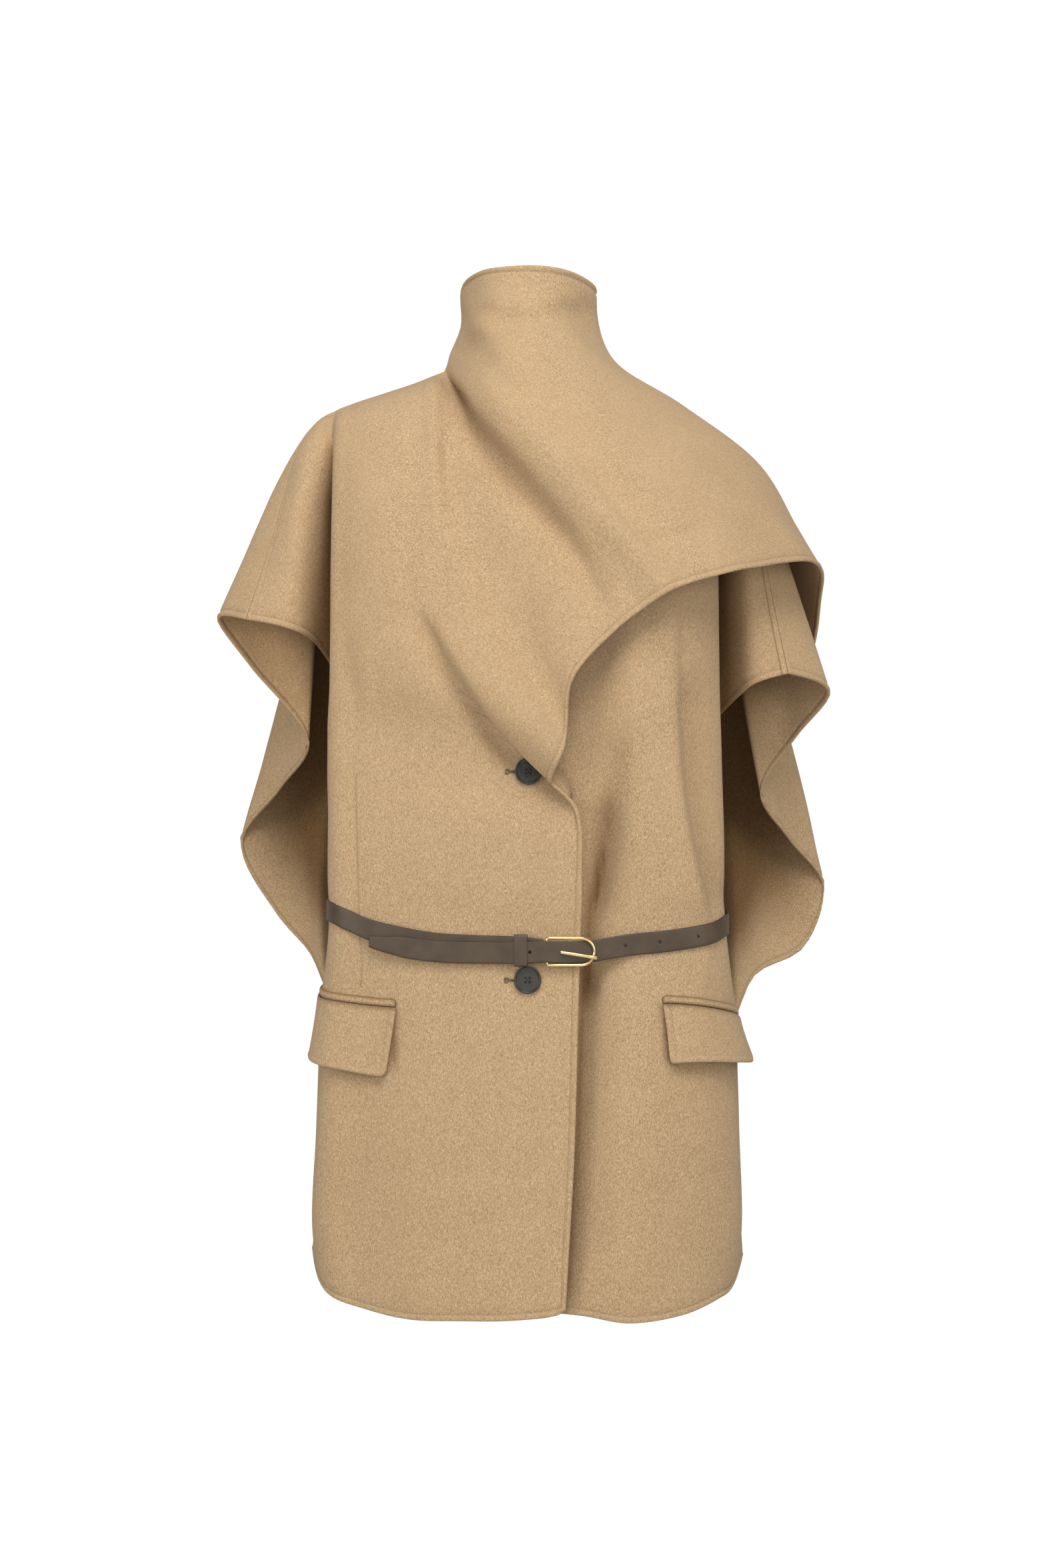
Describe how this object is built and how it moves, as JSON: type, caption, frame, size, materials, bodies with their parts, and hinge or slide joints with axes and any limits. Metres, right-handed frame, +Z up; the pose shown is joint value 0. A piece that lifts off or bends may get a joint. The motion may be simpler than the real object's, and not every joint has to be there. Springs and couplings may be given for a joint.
{
  "type": "wool cape coat",
  "caption": "Long wool cape with a wrapped scarf collar thrown over the shoulder, open wing sleeves, flap pockets and a buckled leather belt.",
  "frame": {"origin": "middle of the neck at the height of the shoulders, where the wearer holds the cape", "axes": "+X towards the wearer's left, -Y the way the wearer faces, +Z up"},
  "size_m": [0.5858, 0.2968, 0.9697],
  "materials": {
    "camel_wool": "brushed matt wool",
    "taupe_leather": "smooth satin",
    "gold_metal": "polished, gold coloured",
    "dark_horn": "polished"
  },
  "bodies": {
    "root": {"right_front": "camel_wool", "left_front": "camel_wool", "back": "camel_wool", "collar_back": "camel_wool", "pocket_welt_right": "camel_wool", "pocket_welt_left": "camel_wool", "pocket_flap_right": "camel_wool", "pocket_flap_left": "camel_wool", "belt_strap": "taupe_leather", "belt_keeper": "taupe_leather", "buckle_frame": "gold_metal", "buckle_prong": "gold_metal", "button_upper": "dark_horn", "button_lower": "dark_horn"}
  },
  "joints": []
}
